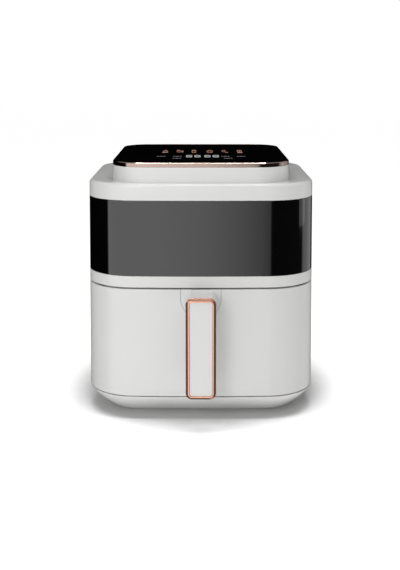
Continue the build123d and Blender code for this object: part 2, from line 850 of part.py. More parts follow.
def neck_section(y, half_width, z_low, radius):
    """Upright rounded rectangle in the XZ plane, its top at the handle's top."""
    height = handle_top_z - 1.0 - z_low
    plane = Plane(origin=(0, y, z_low + height / 2), x_dir=(1, 0, 0), z_dir=(0, -1, 0))
    return plane * RectangleRounded(2 * half_width, height, radius)


def handle_root():
    """Root let into the drawer's front, with the neck that carries the grip."""
    plug = body_form(root_bottom_z - 5, drawer_top_z) & handle_root_outline()
    plug = plug & block(-far, far, -far, front_y + 8, 0, far)
    neck = loft(
        [
            neck_section(front_y + 4, 19.5, 138.5, 9),
            neck_section(front_y - 16, 17.4, 140.5, 8),
            neck_section(grip_back_y, 17.4, 141.5, 8),
        ]
    )
    root = plug + neck
    for piece in handle_screws():
        root -= piece
    return root


def grip_outline(inset, y_low, y_high):
    """Tall rounded bar in front view, between two depths."""
    height = handle_top_z - handle_bottom_z
    outline = RectangleRounded(2 * (handle_half_width - inset), height - 2 * inset, 4.5 - inset * 0.6)
    bar = Rot(90, 0, 0) * extrude(outline, y_high - y_low)
    return Pos(0, y_high, handle_bottom_z + height / 2) * bar


trim_front_width = 4.2
trim_depth = 6.0


def handle_grip():
    """White rear shell of the grip."""
    shell = grip_outline(0, grip_front_y + trim_depth, grip_back_y)
    return fillet(shell.edges().group_by(Axis.Y)[-1], 3.0)


def handle_trim():
    """Rose-gold frame round the grip's face."""
    frame = grip_outline(0, grip_front_y, grip_front_y + trim_depth)
    frame = chamfer(frame.edges().group_by(Axis.Y)[0], 1.4)
    return frame - grip_outline(trim_front_width, grip_front_y - 1, grip_front_y + trim_depth + 1)


def handle_inlay():
    """White strip set into the frame."""
    inlay = grip_outline(trim_front_width + 0.1, grip_front_y + 0.8, grip_front_y + trim_depth)
    return fillet(inlay.edges().group_by(Axis.Y)[0], 0.8)


# ---------------------------------------------------------------- crisper plate
crisper_z = 49.0
crisper_edge = 3.0


def crisper_plate():
    """Perforated plate that lifts out of the pot."""
    width = 2 * (pot_half_width - pot_wall - crisper_edge)
    depth = pot_depth - 2 * (pot_wall + crisper_edge)
    plate = RectangleRounded(width, depth, pot_corner_radius - 5)
    holes = GridLocations(19, 19, 9, 9)
    plate -= [place * Circle(3.2) for place in holes.locations]
    plate = Pos(0, pot_centre_y, crisper_z) * extrude(plate, 1.8)
    for x, y in bumper_places:
        plate -= bumper_slot(x, y)
    return plate


def bumper_slot(x, y):
    """Cut in the plate's edge that a bumper clips into."""
    slot = block(-6, 6, -1.6, 1.6, crisper_z - 1, crisper_z + 3)
    return Pos(x, y, 0) * Rot(0, 0, math.degrees(math.atan2(y - pot_centre_y, x)) - 90) * slot


bumper_places = [
    (side_x * (pot_half_width - 20), pot_centre_y + side_y * (pot_depth / 2 - 20))
    for side_x in (-1, 1)
    for side_y in (-1, 1)
]


def crisper_bumpers():
    """Silicone feet that carry the plate above the pot's floor."""
    bumpers = []
    for x, y in bumper_places:
        angle = math.degrees(math.atan2(y - pot_centre_y, x)) - 90
        foot = block(-7.5, 7.5, -3.4, 3.4, pot_bottom_z + pot_wall + 6.0, crisper_z)
        web = block(-6, 6, -1.6, 1.6, crisper_z, crisper_z + 1.8)
        cap = block(-7.5, 7.5, -3.4, 3.4, crisper_z + 1.8, crisper_z + 5.0)
        bumpers.append(Pos(x, y, 0) * Rot(0, 0, angle) * (foot + web + cap))
    return bumpers


# ---------------------------------------------------------------- rotor
shaft_low_z, shaft_high_z = 184.0, 266.0
fan_low_z = 190.0


def motor_shaft():
    shaft = rod(0, fan_y, shaft_low_z, shaft_high_z, shaft_radius)
    return chamfer(shaft.edges().group_by(Axis.Z)[-1], 0.5)


def rotor_core():
    return tube(0, fan_y, stator_low_z, stator_high_z, rotor_radius, shaft_radius)


def convection_fan():
    """Steel fan above the heating element."""
    fan = tube(0, fan_y, fan_low_z, fan_low_z + 14, 8.0, shaft_radius)
    disc = tube(0, fan_y, fan_low_z + 12, fan_low_z + 13.2, 50.0, 7.0)
    fan += disc
    for index in range(10):
        blade = block(14, 48, -0.6, 0.6, fan_low_z + 1, fan_low_z + 12.5)
        fan += Pos(0, fan_y, 0) * Rot(0, 0, index * 36) * blade
    return fan


def fan_nut():
    """Left-hand nut that holds the fan on the shaft."""
    hexagon = extrude(RegularPolygon(6.2, 6), 5)
    nut = Pos(0, fan_y, fan_low_z - 5) * hexagon
    return nut - rod(0, fan_y, 150, 250, shaft_radius)


def cooling_fan():
    """Plastic fan on top of the motor."""
    fan = tube(0, fan_y, 254, 264, 8.0, shaft_radius)
    for index in range(7):
        blade = Pos(23, 0, 259) * Rot(32, 0, 0) * Box(32, 11, 1.4)
        fan += Pos(0, fan_y, 0) * Rot(0, 0, index * 360 / 7) * blade
    return fan


# ---------------------------------------------------------------- files
makers = [
    base_tray, rubber_feet, base_screws, lower_shell, decor_band, band_carrier, top_cover,
    panel_trim, control_glass, touch_board, display_module, rear_cover, rear_screws, cord_gland,
    gland_nut, chamber_liner, front_frame, guide_rails, drawer_catches, heat_shield, air_guide,
    heater_coil, heater_brackets, heater_guard, exhaust_duct, motor_stator, motor_bracket,
    motor_bushes, motor_screws, power_board, board_components, board_screws, heat_sink,
    terminal_block, thermal_cutout, temperature_probe, drawer_switch, switch_plunger,
    wiring_loom, drawer_front, drawer_inner_panel, drawer_gasket, pot, pot_base, pot_bracket,
    bracket_screws, handle_root, handle_grip, handle_trim, handle_inlay, handle_screws,
    crisper_plate, crisper_bumpers, motor_shaft, rotor_core, convection_fan, fan_nut, cooling_fan,
]

os.makedirs("parts", exist_ok=True)
for maker in makers:
    made = maker()
    pieces = made if isinstance(made, list) else [made]
    solids = [solid for piece in pieces for solid in piece.solids()]
    node = Compound(children=solids)
    node.label = maker.__name__
    export_step(node, f"parts/{maker.__name__}.step")
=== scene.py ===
import json
import math

import bmesh
import bpy
from mathutils import Euler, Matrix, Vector


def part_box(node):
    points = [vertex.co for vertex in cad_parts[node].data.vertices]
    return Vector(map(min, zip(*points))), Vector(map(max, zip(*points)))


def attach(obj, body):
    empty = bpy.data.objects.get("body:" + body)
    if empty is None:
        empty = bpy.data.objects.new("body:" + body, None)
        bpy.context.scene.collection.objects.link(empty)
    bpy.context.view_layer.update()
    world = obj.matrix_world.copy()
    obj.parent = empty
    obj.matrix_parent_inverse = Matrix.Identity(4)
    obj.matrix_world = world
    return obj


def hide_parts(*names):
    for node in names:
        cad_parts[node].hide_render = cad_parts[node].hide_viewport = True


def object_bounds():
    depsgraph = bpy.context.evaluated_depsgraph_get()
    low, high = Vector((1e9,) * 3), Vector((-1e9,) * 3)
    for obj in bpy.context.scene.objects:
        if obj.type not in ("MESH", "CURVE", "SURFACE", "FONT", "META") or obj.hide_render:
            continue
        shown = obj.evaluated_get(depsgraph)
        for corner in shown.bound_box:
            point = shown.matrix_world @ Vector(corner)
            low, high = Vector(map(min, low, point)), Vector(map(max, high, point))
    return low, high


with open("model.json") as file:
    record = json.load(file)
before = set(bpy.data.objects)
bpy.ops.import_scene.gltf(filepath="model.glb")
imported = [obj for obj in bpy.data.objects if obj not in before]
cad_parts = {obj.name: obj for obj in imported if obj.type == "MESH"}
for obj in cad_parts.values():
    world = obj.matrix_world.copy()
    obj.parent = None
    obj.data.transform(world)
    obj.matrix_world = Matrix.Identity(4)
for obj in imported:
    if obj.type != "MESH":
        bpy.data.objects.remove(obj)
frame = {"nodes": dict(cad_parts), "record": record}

cad_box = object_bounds()
MM = 0.001

# ------------------------------------------------ sizes in millimetres, most of them from the frame
def limits(node):
    """Lowest and highest corner of a CAD node, in millimetres."""
    low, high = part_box(node)
    return low / MM, high / MM


band_low, band_high = limits("decor_band")
cover_low = limits("top_cover")[0]
shell_low, shell_high = limits("lower_shell")
tray_low = limits("base_tray")[0]
front_low, front_high = limits("drawer_front")
trim_low, trim_high = limits("panel_trim")
glass_low, glass_high = limits("control_glass")
rear_low, rear_high = limits("rear_cover")
grip_low, grip_high = limits("handle_grip")
frame_low, frame_high = limits("handle_trim")
root_low, root_high = limits("handle_root")
liner_low, liner_high = limits("chamber_liner")

# The body's outline: corner radius, radius of the bowed front, wall and draft.
CORNER = 60.0
CROWN = 1900.0
WALL = 2.6
DRAFT = math.tan(math.radians(0.5))

# The flared base, the shoulder and the ring over the drawer.
BASE_INSET = 25.4
BASE_CURVE = 1.3
BASE_TOP = 29.0
SHOULDER_TOP = 292.5
SHOULDER_ROUND = 4.5
RING_BOTTOM = 166.4

# The body's limits, and the collar's outline just outside the panel's frame.
BODY_HALF = band_high.x
BODY_FRONT = band_low.y
BODY_BACK = band_high.y
REFERENCE_Z = band_low.z
COLLAR_HALF = trim_high.x + 0.3
COLLAR_FRONT = trim_low.y - 0.3
COLLAR_BACK = trim_high.y + 0.3
COLLAR_FRONT_ROUND = 42.0
COLLAR_REAR_ROUND = 38.0

# The drawer front's rear edge and the U-shaped seam round the handle's root.
CAP_EDGE = front_high.y
U_HALF = root_high.x
U_CENTRE_Z = root_low.z + U_HALF
U_TOP = U_CENTRE_Z + 60.0

# Well outside the object on every side, for cutters that only need to reach past it.
FAR = 200.0


def flare(z):
    """How far the tapered body stands outside its reference outline at a height."""
    return (REFERENCE_Z - z) * DRAFT


# ---------------------------------------------------------------- sections swept round an outline
def quiet():
    """Leaves edit mode and deselects everything."""
    if bpy.context.object and bpy.context.object.mode != "OBJECT":
        bpy.ops.object.mode_set(mode="OBJECT")
    bpy.ops.object.select_all(action="DESELECT")


def begin(name):
    """Opens an empty mesh in edit mode."""
    quiet()
    bpy.ops.mesh.primitive_plane_add(size=MM)
    piece = bpy.context.object
    piece.name = piece.data.name = name
    bpy.ops.object.mode_set(mode="EDIT")
    bpy.ops.mesh.delete(type="VERT")
    bpy.ops.mesh.select_mode(type="VERT")
    return piece


def pick(piece, test):
    """Selects the vertices whose place in millimetres passes a test, and nothing else."""
    mesh = bmesh.from_edit_mesh(piece.data)
    for vertex in mesh.verts:
        vertex.select_set(test(vertex.co / MM))
    mesh.select_flush_mode()
    bmesh.update_edit_mesh(piece.data)


def point(place):
    """A single selected vertex."""
    bpy.ops.mesh.select_all(action="DESELECT")
    bpy.ops.mesh.primitive_plane_add(size=0.1 * MM, location=Vector(place) * MM)
    bpy.ops.mesh.merge(type="CENTER")


def push(dx, dy, dz=0.0):
    """Extrudes the selection by a distance in millimetres."""
    bpy.ops.mesh.extrude_region_move(TRANSFORM_OT_translate={"value": (dx * MM, dy * MM, dz * MM)})


def turn(centre, degrees, steps):
    """Spins the selection about an upright axis, anticlockwise seen from above."""
    bpy.ops.mesh.spin(
        steps=steps,
        angle=-math.radians(degrees),
        center=(centre[0] * MM, centre[1] * MM, 0),
        axis=(0, 0, 1),
    )


class Plan:
    """Closed outline with a crowned front and four round corners."""

    def __init__(self, half, front, back, front_round, rear_round, fine=18):
        self.fine = fine
        self.crown = Vector((0.0, front + CROWN))
        corner_x = half - front_round
        reach = CROWN - front_round
        corner_y = self.crown.y - math.sqrt(reach**2 - corner_x**2)
        self.corner = Vector((corner_x, corner_y))
        self.rear = Vector((half - rear_round, back - rear_round))
        self.lean = math.asin(corner_x / reach)
        self.outward = Vector((-math.sin(self.lean), -math.cos(self.lean)))
        self.start = self.crown + self.outward * CROWN

    def follow(self):
        """Sweeps the selected section once round the outline."""
        lean = math.degrees(self.lean)
        side = self.rear.y - self.corner.y
        turn(self.crown, 2 * lean, self.fine)
        turn(self.corner, 90 - lean, self.fine)
        push(0, side)
        turn(self.rear, 90, self.fine)
        push(-2 * self.rear.x, 0)
        turn((-self.rear.x, self.rear.y), 90, self.fine)
        push(0, -side)
        turn((-self.corner.x, self.corner.y), 90 - lean, self.fine)


class Bar:
    """Rounded rectangle about a middle point."""

    def __init__(self, half_x, half_y, radius, middle_y=0.0, fine=8):
        self.x, self.y = half_x - radius, half_y - radius
        self.middle_y, self.fine = middle_y, fine
        self.outward = Vector((0.0, -1.0))
        self.start = Vector((-self.x, middle_y - half_y))

    def follow(self):
        """Sweeps the selected section once round the rectangle."""
        low, high = self.middle_y - self.y, self.middle_y + self.y
        push(2 * self.x, 0)
        turn((self.x, low), 90, self.fine)
        push(0, 2 * self.y)
        turn((self.x, high), 90, self.fine)
        push(-2 * self.x, 0)
        turn((-self.x, high), 90, self.fine)
        push(0, -2 * self.y)
        turn((-self.x, low), 90, self.fine)


def sweep(name, outline, section, ring=False):
    """Sweeps (inset, height) section points round an outline: a ring, or a block with flat ends."""
    piece = begin(name)
    places = []
    for inset, z in section:
        spot = outline.start - outline.outward * inset
        places.append(Vector((spot.x, spot.y, z)))
    point(places[0])
    for before, after in zip(places, places[1:]):
        push(*(after - before))
    bpy.ops.mesh.select_all(action="SELECT")
    if ring:
        ends = (places[0], places[-1])
        pick(piece, lambda place: min((place - end).length for end in ends) < 0.001)
        bpy.ops.mesh.edge_face_add()
        bpy.ops.mesh.select_all(action="SELECT")
    outline.follow()
    bpy.ops.mesh.select_all(action="SELECT")
    bpy.ops.mesh.remove_doubles(threshold=0.002 * MM)
    if not ring:
        for end in (section[0][1], section[-1][1]):
            bpy.ops.mesh.select_all(action="DESELECT")
            bpy.ops.mesh.select_non_manifold()
            mesh = bmesh.from_edit_mesh(piece.data)
            for vertex in mesh.verts:
                if vertex.select and abs(vertex.co.z / MM - end) > 0.001:
                    vertex.select_set(False)
            mesh.select_flush_mode()
            bmesh.update_edit_mesh(piece.data)
            bpy.ops.mesh.edge_face_add()
    bpy.ops.mesh.select_all(action="SELECT")
    bpy.ops.mesh.normals_make_consistent(inside=False)
    bpy.ops.object.mode_set(mode="OBJECT")
    return piece


def rounded(points, radii, steps=4):
    """Section points with their corners rounded by arcs. Each corner has its own radius."""
    section = []
    count = len(points)
    for index, radius in enumerate(radii):
        corner = Vector(points[index])
        before = (Vector(points[index - 1]) - corner).normalized()
        after = (Vector(points[(index + 1) % count]) - corner).normalized()
        if radius <= 0:
            section.append(tuple(corner))
            continue
        half = before.angle(after) / 2
        reach = radius / math.tan(half)
        centre = corner + (before + after).normalized() * radius / math.sin(half)
        start, end = corner + before * reach - centre, corner + after * reach - centre
        arc = start.angle(end)
        for step in range(steps + 1):
            share = step / steps
            turned = start * math.sin((1 - share) * arc) + end * math.sin(share * arc)
            section.append(tuple(centre + turned / math.sin(arc)))
    return section


# ---------------------------------------------------------------- finishing
def use(piece):
    """Makes a piece the only one selected, and active."""
    quiet()
    piece.select_set(True)
    bpy.context.view_layer.objects.active = piece


def apply_modifier(piece, kind, **settings):
    """Adds a modifier with its settings and applies it."""
    use(piece)
    modifier = piece.modifiers.new(kind.title(), kind)
    for key, value in settings.items():
        setattr(modifier, key, value)
    bpy.ops.object.modifier_apply(modifier=modifier.name)


def carve(piece, cutter, operation="DIFFERENCE"):
    """Cuts a piece with another closed shape, or joins it on, and removes that shape."""
    apply_modifier(piece, "BOOLEAN", operation=operation, object=cutter, solver="EXACT")
    bpy.ops.object.mode_set(mode="EDIT")
    bpy.ops.mesh.select_all(action="SELECT")
    bpy.ops.mesh.remove_doubles(threshold=0.001 * MM)
    bpy.ops.object.mode_set(mode="OBJECT")
    bpy.data.objects.remove(cutter)


def soften(piece, width):
    """Rounds the sharp edges that the cuts left."""
    apply_modifier(
        piece,
        "BEVEL",
        width=width * MM,
        segments=2,
        limit_method="ANGLE",
        angle_limit=math.radians(40),
    )


def settle(piece, angle=35):
    """Smooth shading that keeps flats flat, with the object at the origin."""
    use(piece)
    bpy.ops.object.transform_apply(location=True, rotation=True, scale=True)
    bpy.ops.object.shade_smooth_by_angle(angle=math.radians(angle))
    apply_modifier(piece, "WEIGHTED_NORMAL", keep_sharp=True, weight=80)
    return piece


def slab(name, low, high):
    """Box between two corners, as a cutter."""
    quiet()
    size = Vector(high) - Vector(low)
    centre = (Vector(high) + Vector(low)) / 2
    bpy.ops.mesh.primitive_cube_add(size=MM, location=centre * MM)
    piece = bpy.context.object
    piece.name = piece.data.name = name
    piece.scale = size
    bpy.ops.object.transform_apply(location=True, rotation=True, scale=True)
    return piece


def drum(name, radius, low, high):
    """Upright round cutter between two points on its axis."""
    quiet()
    bpy.ops.mesh.primitive_cylinder_add(
        vertices=40,
        radius=radius * MM,
        depth=(Vector(high) - Vector(low)).length * MM,
        location=(Vector(high) + Vector(low)) / 2 * MM,
    )
    piece = bpy.context.object
    piece.name = piece.data.name = name
    bpy.ops.object.transform_apply(location=True, rotation=True, scale=True)
    return piece


def join(name, pieces):
    """Joins pieces into one mesh object."""
    quiet()
    for piece in pieces:
        piece.select_set(True)
    bpy.context.view_layer.objects.active = pieces[0]
    bpy.ops.object.join()
    pieces[0].name = pieces[0].data.name = name
    return pieces[0]


def place_copy(pattern, dx, dy):
    """Copy of a pattern with its own mesh, moved in millimetres."""
    copy = pattern.copy()
    copy.data = pattern.data.copy()
    bpy.context.scene.collection.objects.link(copy)
    copy.location = (dx * MM, dy * MM, 0)
    use(copy)
    bpy.ops.object.transform_apply(location=True, rotation=True, scale=True)
    return copy


def upright(piece):
    """Turns a shape drawn flat so that its Y points up and its Z points to the front."""
    use(piece)
    piece.rotation_euler = Euler((math.radians(90), 0, 0))
    bpy.ops.object.transform_apply(location=True, rotation=True, scale=True)
    return piece


def fit_out(piece, material, body, slot, *nodes):
    """Gives a finished piece its material and body, and hides the CAD nodes that it stands for. The
    slot argument is not used.
    """
    piece.data.materials.clear()
    piece.data.materials.append(material)
    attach(piece, body)
    if nodes:
        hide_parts(*nodes)
    return piece


# ---------------------------------------------------------------- materials
class Signal:
    """A socket that can be used in expressions. Each operation adds a Math node."""

    def __init__(self, sheet, socket):
        self.sheet, self.socket = sheet, socket

    def combine(self, operation, other, flipped=False):
        """Math node of this signal and another signal or number."""
        pair = (other, self) if flipped else (self, other)
        return self.sheet.node("ShaderNodeMath", {"operation": operation}, {0: pair[0], 1: pair[1]})

    def __add__(self, other):
        return self.combine("ADD", other)

    __radd__ = __add__

    def __mul__(self, other):
        return self.combine("MULTIPLY", other)

    __rmul__ = __mul__

    def __sub__(self, other):
        return self.combine("SUBTRACT", other)

    def __rsub__(self, other):
        return self.combine("SUBTRACT", other, flipped=True)


class NodeSheet:
    """A node tree that nodes are added to."""

    def __init__(self, tree):
        self.tree = tree

    def node(self, kind, settings, values, output=0):
        """Adds a node: its settings first, then the values or links of its sockets."""
        made = self.tree.nodes.new(kind)
        for key, value in settings.items():
            if key == "stops":
                self.set_stops(made.color_ramp, value)
            else:
                setattr(made, key, value)
        for key, value in values.items():
            if isinstance(value, Signal):
                self.tree.links.new(value.socket, made.inputs[key])
            else:
                made.inputs[key].default_value = value
        return Signal(self, made.outputs[output])

    def set_stops(self, ramp, stops):
        """Places a ramp's stops, each a position and a colour."""
        while len(ramp.elements) < len(stops):
            ramp.elements.new(1.0)
        for element, (position, colour) in zip(ramp.elements, stops):
            element.position = position
            element.color = (*colour, 1.0)

    def step(self, signal, low, high):
        """Signal stretched so that low becomes 0 and high becomes 1."""
        values = {"Value": signal, "From Min": low, "From Max": high}
        return self.node("ShaderNodeMapRange", {"clamp": True}, values)


class Finish(NodeSheet):
    """A material on the Principled shader, built from constants and a few procedural signals."""

    def __init__(self, name, **constants):
        self.material = bpy.data.materials.new(name)
        self.material.use_nodes = True
        super().__init__(self.material.node_tree)
        self.shader = self.tree.nodes["Principled BSDF"]
        for key, value in constants.items():
            label = key.replace("_", " ").title().replace("Ior", "IOR")
            self.shader.inputs[label].default_value = value
        self.place = self.node("ShaderNodeTexCoord", {}, {}, "Object")

    def noise(self, scale, detail=2.0, roughness=0.5, stretch=(1, 1, 1)):
        """Noise signal from 0 to 1, with its scale in cycles per metre."""
        placed = self.node("ShaderNodeMapping", {}, {"Vector": self.place, "Scale": stretch})
        return self.node(
            "ShaderNodeTexNoise",
            {},
            {"Vector": placed, "Scale": scale, "Detail": detail, "Roughness": roughness},
        )

    def cells(self, scale):
        """Distance to the nearest of many scattered points."""
        return self.node("ShaderNodeTexVoronoi", {}, {"Vector": self.place, "Scale": scale})

    def blend(self, factor, first, second):
        """Colour that goes from first to second."""
        stops = [(0.0, first), (1.0, second)]
        return self.node("ShaderNodeValToRGB", {"stops": stops}, {"Fac": factor})

    def bump(self, height, depth, strength=1.0, over=None):
        """Surface normal of a height signal, with its depth in metres."""
        values = {"Height": height, "Distance": depth, "Strength": strength}
        if over is not None:
            values["Normal"] = over
        return self.node("ShaderNodeBump", {}, values, "Normal")

    def feed(self, **signals):
        """Links signals to the shader's own sockets."""
        for key, signal in signals.items():
            self.tree.links.new(signal.socket, self.shader.inputs[key.replace("_", " ").title()])
        return self.material


def moulded_white():
    """Satin white plastic: faint mottling, a fine moulded grain and slow changes of gloss."""
    finish = Finish("moulded_white", coat_weight=0.3, coat_roughness=0.08, ior=1.5)
    mottle = finish.noise(9.0, 3.0)
    grain = finish.noise(1500.0, 2.0)
    colour = finish.blend(mottle, (0.67, 0.67, 0.66), (0.70, 0.70, 0.69))
    gloss = finish.noise(35.0, 4.0) * 0.06 + 0.27
    surface = finish.bump(grain, 0.00002, 0.25)
    return finish.feed(base_color=colour, roughness=gloss, normal=surface)


def piano_black():
    """Deep gloss band: nearly black, with hairline polish marks and a trace of ripple."""
    finish = Finish("band_gloss", coat_weight=1.0, coat_roughness=0.03, ior=1.5)
    ripple = finish.noise(28.0, 1.0)
    hairlines = finish.noise(300.0, 3.0, 0.6, (0.15, 0.15, 6.0))
    drift = finish.noise(14.0, 2.0)
    colour = finish.blend(drift, (0.0006, 0.0006, 0.0008), (0.0012, 0.0012, 0.0015))
    gloss = finish.step(hairlines, 0.55, 0.8) * 0.05 + 0.09
    surface = finish.bump(ripple, 0.00006, 0.25)
    return finish.feed(base_color=colour, roughness=gloss, normal=surface)


def black_glass():
    """Back-printed tempered glass with faint smears."""
    finish = Finish("panel_black_glass", coat_weight=1.0, coat_roughness=0.02, ior=1.52)
    smears = finish.noise(24.0, 4.0, 0.6, (1.0, 2.2, 1.0))
    colour = finish.blend(smears, (0.0035, 0.0038, 0.0045), (0.006, 0.006, 0.007))
    gloss = finish.step(smears, 0.45, 0.75) * 0.08 + 0.05
    return finish.feed(base_color=colour, roughness=gloss)


def rose_metal(name, deep, light, metallic=1.0):
    """Polished rose-gold plating with a fine lengthwise brush."""
    finish = Finish(name, metallic=metallic)
    brush = finish.noise(900.0, 2.0, 0.6, (0.05, 1.0, 1.0))
    tint = finish.noise(30.0, 2.0)
    colour = finish.blend(tint, deep, light)
    gloss = brush * 0.08 + 0.08
    surface = finish.bump(brush, 0.00001, 0.3)
    return finish.feed(base_color=colour, roughness=gloss, normal=surface)


def textured_black(name="textured_black", tone=0.022):
    """Spark-eroded plastic: the rear cover, the drawer's inner faces and other mouldings."""
    finish = Finish(name, ior=1.48)
    texture = finish.cells(1400.0)
    drift = finish.noise(18.0, 3.0)
    colour = finish.blend(drift, (tone * 0.8,) * 3, (tone * 1.3,) * 3)
    gloss = drift * 0.12 + 0.46
    surface = finish.bump(texture, 0.00006, 0.5)
    return finish.feed(base_color=colour, roughness=gloss, normal=surface)


def bright_sheet(name="bright_sheet", tone=0.55, rough=0.28):
    """Rolled or machined metal with directional marks and faintly tinted patches."""
    finish = Finish(name, metallic=1.0)
    rolling = finish.noise(500.0, 3.0, 0.65, (0.04, 1.0, 1.0))
    patches = finish.noise(11.0, 4.0)
    colour = finish.blend(patches, (tone * 0.86, tone * 0.84, tone * 0.80), (tone * 1.06,) * 3)
    gloss = rolling * 0.2 + rough
    surface = finish.bump(rolling, 0.00002, 0.3)
    return finish.feed(base_color=colour, roughness=gloss, normal=surface)


def speckled_coating():
    """Dark non-stick coating with pale specks."""
    finish = Finish("speckled_coating", coat_weight=0.15, coat_roughness=0.3)
    specks = finish.step(finish.cells(420.0), 0.14, 0.05)
    drift = finish.noise(22.0, 3.0)
    colour = finish.blend(specks, (0.028, 0.028, 0.030), (0.20, 0.20, 0.21))
    gloss = drift * 0.12 + 0.34
    surface = finish.bump(finish.noise(800.0), 0.00004, 0.4)
    return finish.feed(base_color=colour, roughness=gloss, normal=surface)


def soft_rubber(name="soft_rubber", tone=0.03):
    """Matt rubber or silicone with a little dust."""
    finish = Finish(name, ior=1.5)
    dust = finish.noise(60.0, 4.0, 0.6)
    colour = finish.blend(dust, (tone * 0.8,) * 3, (tone * 1.5,) * 3)
    gloss = dust * 0.2 + 0.62
    surface = finish.bump(finish.noise(1200.0), 0.00005, 0.5)
    return finish.feed(base_color=colour, roughness=gloss, normal=surface)


def solder_mask():
    """Green laminate with copper traces that show through."""
    finish = Finish("solder_mask", coat_weight=0.4, coat_roughness=0.2)
    traces = finish.node(
        "ShaderNodeTexBrick",
        {},
        {"Vector": finish.place, "Scale": 160.0, "Mortar Size": 0.06},
        "Fac",
    )
    colour = finish.blend(traces, (0.012, 0.10, 0.045), (0.03, 0.19, 0.075))
    return finish.feed(base_color=colour, roughness=finish.noise(70.0) * 0.15 + 0.3)


def printed_mark(name, colour, strength):
    """Panel printing, faintly lit from behind."""
    finish = Finish(name, roughness=0.4, emission_strength=strength)
    unevenness = finish.noise(260.0, 2.0)
    dim = tuple(channel * 0.8 for channel in colour)
    tone = finish.blend(unevenness, dim, colour)
    return finish.feed(base_color=tone, emission_color=tone)


def red_moulding():
    """Red plastic of the switch's plunger."""
    finish = Finish("red_moulding", ior=1.5)
    colour = finish.blend(finish.noise(60.0), (0.35, 0.03, 0.02), (0.45, 0.05, 0.03))
    return finish.feed(base_color=colour, roughness=finish.noise(90.0) * 0.1 + 0.4)


WHITE = moulded_white()
BLACK_GLOSS = piano_black()
GLASS = black_glass()
# The same rose-gold plating in two tones, each set to how light falls on it: the trim's copy is
# darkened (painted shade), and the handle frame's copy is brighter and redder (painted light).
ROSE = rose_metal("rose_plating", (0.42, 0.31, 0.27), (0.50, 0.38, 0.33))
ROSE_LIT = rose_metal("rose_plating_lit", (0.80, 0.42, 0.30), (0.88, 0.50, 0.38), 0.9)
DARK = textured_black()
SHEET = bright_sheet()
ALUMINIUM = bright_sheet("mill_aluminium", 0.72, 0.32)
HEATED = bright_sheet("heat_darkened", 0.16, 0.42)
BRONZE = bright_sheet("sintered_bronze", 0.45, 0.45)
COATING = speckled_coating()
RUBBER = soft_rubber()
SILICONE = soft_rubber("soft_silicone", 0.12)
BOARD = solder_mask()
PALE = textured_black("pale_moulding", 0.55)
RED = red_moulding()

SLOT_FINISH = {
    "white_plastic": WHITE,
    "gloss_black": BLACK_GLOSS,
    "dark_plastic": DARK,
    "rose_gold": ROSE,
    "black_glass": GLASS,
    "rubber_black": RUBBER,
    "zinc_steel": SHEET,
    "sheet_steel": SHEET,
    "spring_steel": SHEET,
    "aluminium_sheet": ALUMINIUM,
    "heater_sheath": HEATED,
    "laminated_core": HEATED,
    "sintered_bronze": BRONZE,
    "circuit_board": BOARD,
    "component_case": DARK,
    "terminal_plastic": PALE,
    "plunger_plastic": RED,
    "wire_sleeve": RUBBER,
    "nonstick_coating": COATING,
    "silicone": SILICONE,
}
for part in frame["record"]["subparts"]:
    shown = frame["nodes"][part["node"]]
    shown.data.materials.clear()
    shown.data.materials.append(SLOT_FINISH[part["material_slot"]])


# ---------------------------------------------------------------- camera and light
CAMERA_AHEAD = 1125.6
CAMERA_HEIGHT = 442.3
CAMERA_PITCH = 0.14877
CAMERA_LENS = 60.39789
SHIFT_ACROSS = -0.001579
SHIFT_UP = -0.149123
AMBIENT = 0.20

# The panel that reflections see, as brightness by bearing in degrees from the front.
PANEL_BY_BEARING = (
    (-180, 0.0),
    (-72, 0.0),
    (-69, 1.25),
    (-6, 1.3),
    (0, 1.15),
    (5, 0.85),
    (9, 0.5),
    (13, 0.32),
    (14.5, 0.015),
    (98, 0.02),
    (104, 0.55),
    (140, 0.45),
    (150, 0.0),
)
# The sky over it, as brightness by height from the horizon to overhead.
SKY_BY_HEIGHT = ((0.0, 0.0), (0.30, 0.03), (0.55, 0.30), (1.0, 0.5))
PANEL_TOP = 0.40
SKY_START = 0.62


def make_camera():
    """Camera a little above the top, looking slightly down, with a small shift."""
    data = bpy.data.cameras.new("camera")
    camera = bpy.data.objects.new("camera", data)
    bpy.context.scene.collection.objects.link(camera)
    data.sensor_fit = "AUTO"
    data.sensor_width = 36.0
    data.lens = CAMERA_LENS
    data.shift_x = SHIFT_ACROSS
    data.shift_y = SHIFT_UP
    camera.location = (0.0, (BODY_FRONT - CAMERA_AHEAD) * MM, CAMERA_HEIGHT * MM)
    camera.rotation_euler = (math.pi / 2 - CAMERA_PITCH, 0, 0)
    bpy.context.scene.camera = camera


def softbox(name, place, aim, width, height, power, spread=180):
    """Rectangular studio light that points at a place."""
    data = bpy.data.lights.new(name, "AREA")
    data.shape = "RECTANGLE"
    data.size, data.size_y = width, height
    data.energy = power
    data.spread = math.radians(spread)
    light = bpy.data.objects.new(name, data)
    bpy.context.scene.collection.objects.link(light)
    light.location = place
    way = Vector(aim) - Vector(place)
    light.rotation_euler = way.to_track_quat("-Z", "Y").to_euler()
    return light


